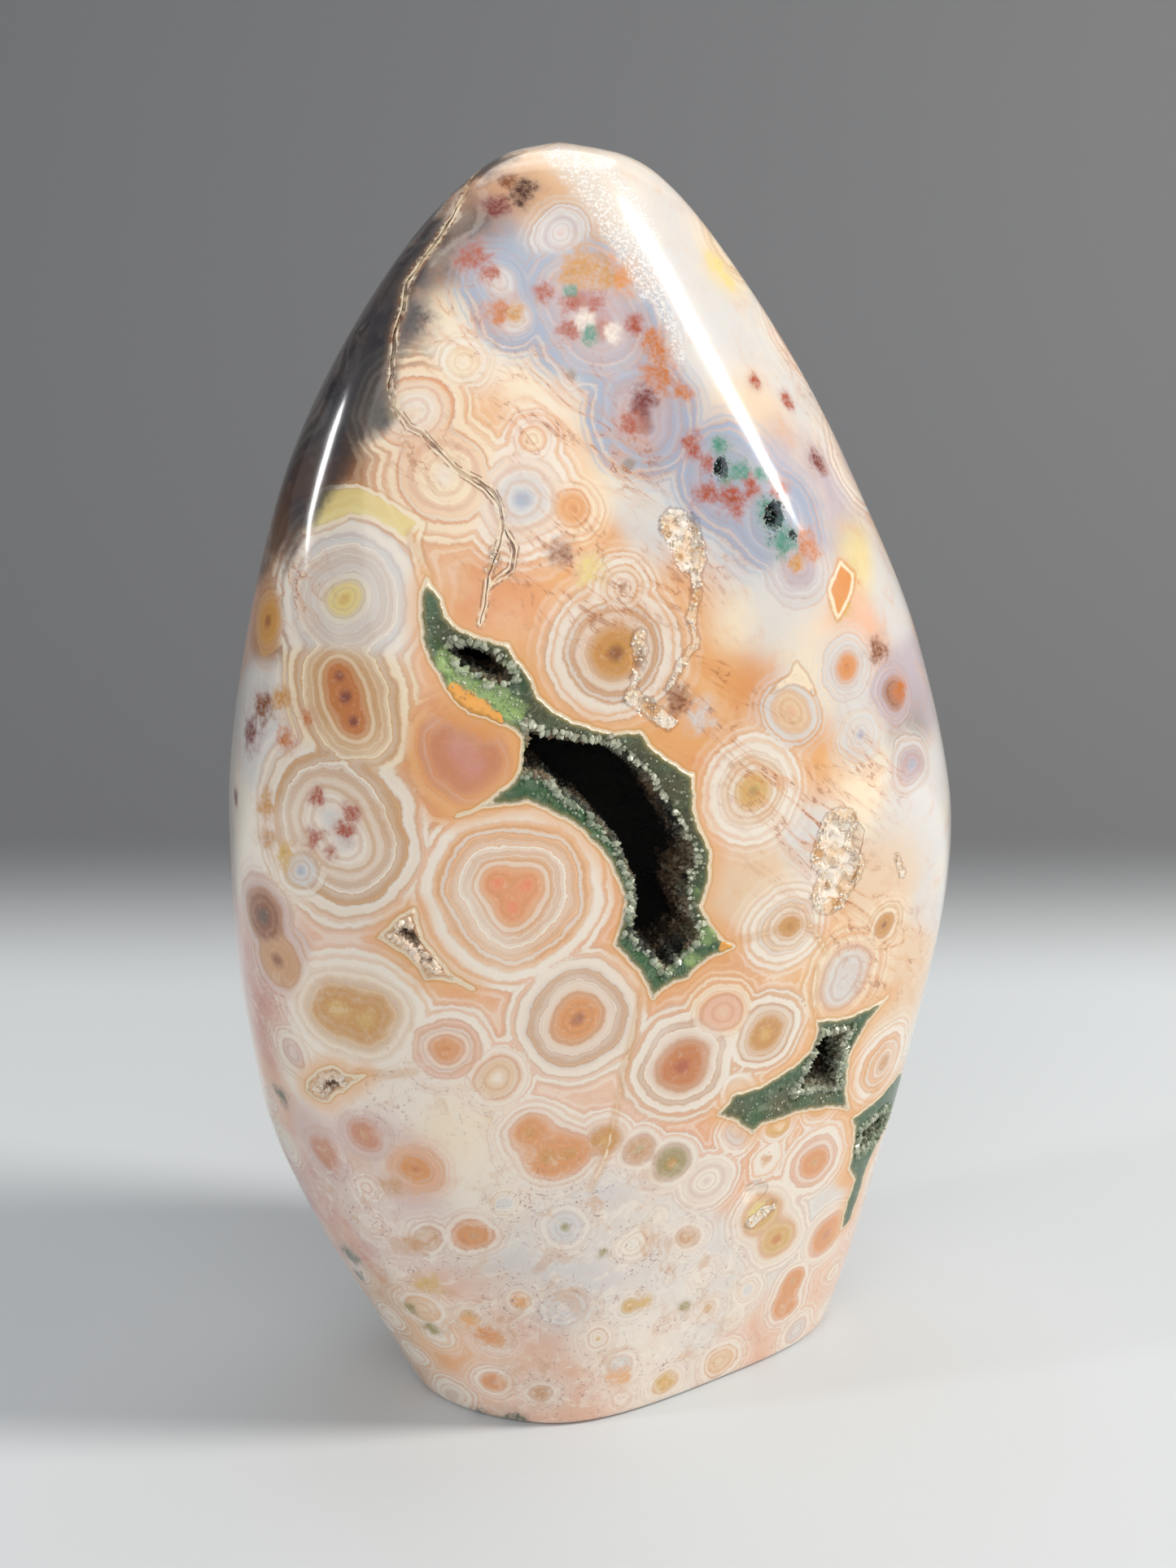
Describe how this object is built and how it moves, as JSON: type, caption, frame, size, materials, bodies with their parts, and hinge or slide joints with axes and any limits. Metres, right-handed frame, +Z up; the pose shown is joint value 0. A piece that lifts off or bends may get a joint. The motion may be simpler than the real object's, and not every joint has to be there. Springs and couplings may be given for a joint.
{
  "type": "polished ocean jasper freeform",
  "caption": "Upright polished freeform of pink orbicular jasper with a flat sawn base and crystal-lined open hollows in its face.",
  "frame": {"origin": "middle of the flat sawn base, on the surface that the stone stands on", "axes": "+Z up along the stone's height, -Y out of the broad face with the large hollow, +X to the right of that face"},
  "size_m": [0.0886, 0.0465, 0.1495],
  "materials": {
    "polished_jasper": "polished to a gloss, slightly translucent, banded orbs in peach, cream, ochre and lilac white",
    "green_quartz": "dark green translucent quartz, flush and polished at the rim, with rough glinting crystal tips inside",
    "white_quartz": "white to brownish sugary quartz crystals"
  },
  "bodies": {
    "root": {"stone": "polished_jasper", "crust_main": "green_quartz", "crust_right": "green_quartz", "crust_flank": "green_quartz", "crust_spindle": "white_quartz", "crust_pocket": "white_quartz"}
  },
  "joints": []
}
